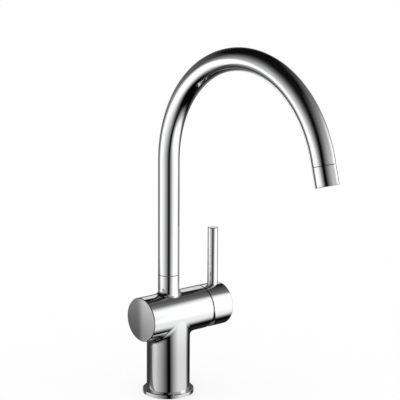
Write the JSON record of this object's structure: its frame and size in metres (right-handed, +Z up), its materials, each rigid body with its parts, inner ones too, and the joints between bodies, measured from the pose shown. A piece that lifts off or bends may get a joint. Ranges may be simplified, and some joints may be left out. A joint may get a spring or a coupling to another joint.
{
  "type": "kitchen tap",
  "caption": "Deck-mounted swan-neck kitchen tap for hot, cold and filtered water: round column, cross barrel with an end lever, swivelling spout.",
  "frame": {"origin": "centre of the base, on the plane of the deck", "axes": "+Z up the column; -Y the way the spout reaches at rest; +X the way the lever end of the barrel points"},
  "size_m": [0.1147, 0.2773, 0.3927],
  "materials": {
    "chrome": "mirror-bright chrome plate",
    "brass": "bare turned brass",
    "steel": "stainless steel",
    "black_rubber": "matt black rubber",
    "ceramic": "polished white ceramic",
    "cartridge_plastic": "pale moulded plastic with a fine grain",
    "stem_metal": "sintered steel",
    "dark_plastic": "dark moulded plastic",
    "white_plastic": "light grey moulded plastic",
    "tube_plastic": "extruded food-grade hose"
  },
  "bodies": {
    "body": {"base_ring": "chrome", "base_gasket": "black_rubber", "foot_seal": "black_rubber", "body_casting": "chrome", "end_cap": "chrome", "end_cap_seal": "black_rubber", "cartridge_base": "cartridge_plastic", "port_seals": "black_rubber", "fixed_ceramic_disc": "ceramic", "cartridge_housing": "cartridge_plastic", "cartridge_nut": "brass", "cover_ring": "dark_plastic", "slide_ring": "dark_plastic", "spout_stop_screw": "steel", "filtered_nipple": "brass", "nipple_seal": "black_rubber"},
    "rotor": {"cartridge_rotor": "cartridge_plastic", "pivot_pin": "steel"},
    "valve_disc": {"moving_ceramic_disc": "ceramic", "disc_slider": "cartridge_plastic"},
    "handle": {"lever_stem": "stem_metal", "hub": "chrome", "lever": "chrome", "hub_grub_screw": "steel", "hub_plug": "dark_plastic"},
    "spout": {"spout_journal": "brass", "journal_seals": "black_rubber", "line_socket": "white_plastic", "filtered_tube": "tube_plastic", "spout_tube": "chrome", "outlet_bush": "brass", "aerator_shell": "chrome", "aerator_washer": "black_rubber", "aerator_insert": "white_plastic", "filtered_nozzle": "white_plastic"}
  },
  "joints": [
    {"name": "spout_swivel", "type": "hinge", "parent": "body", "child": "spout", "pos_m": [0, 0, 0.136], "axis": [0, 0, 1], "range_deg": [-70, 70]},
    {"name": "lever_turn", "type": "hinge", "parent": "body", "child": "rotor", "pos_m": [0.036, 0, 0.09], "axis": [1, 0, 0], "range_deg": [-60, 90]},
    {"name": "lever_tilt", "type": "hinge", "parent": "rotor", "child": "handle", "pos_m": [0.036, 0, 0.09], "axis": [0, 1, 0], "range_deg": [0, 18]},
    {"name": "disc_travel", "type": "slide", "parent": "rotor", "child": "valve_disc", "axis": [0, 0, 1], "range_m": [0, 0.0022]}
  ],
  "couplings": [
    {"joint": "disc_travel", "follows": "lever_tilt", "m_per_rad": 0.0067182}
  ]
}
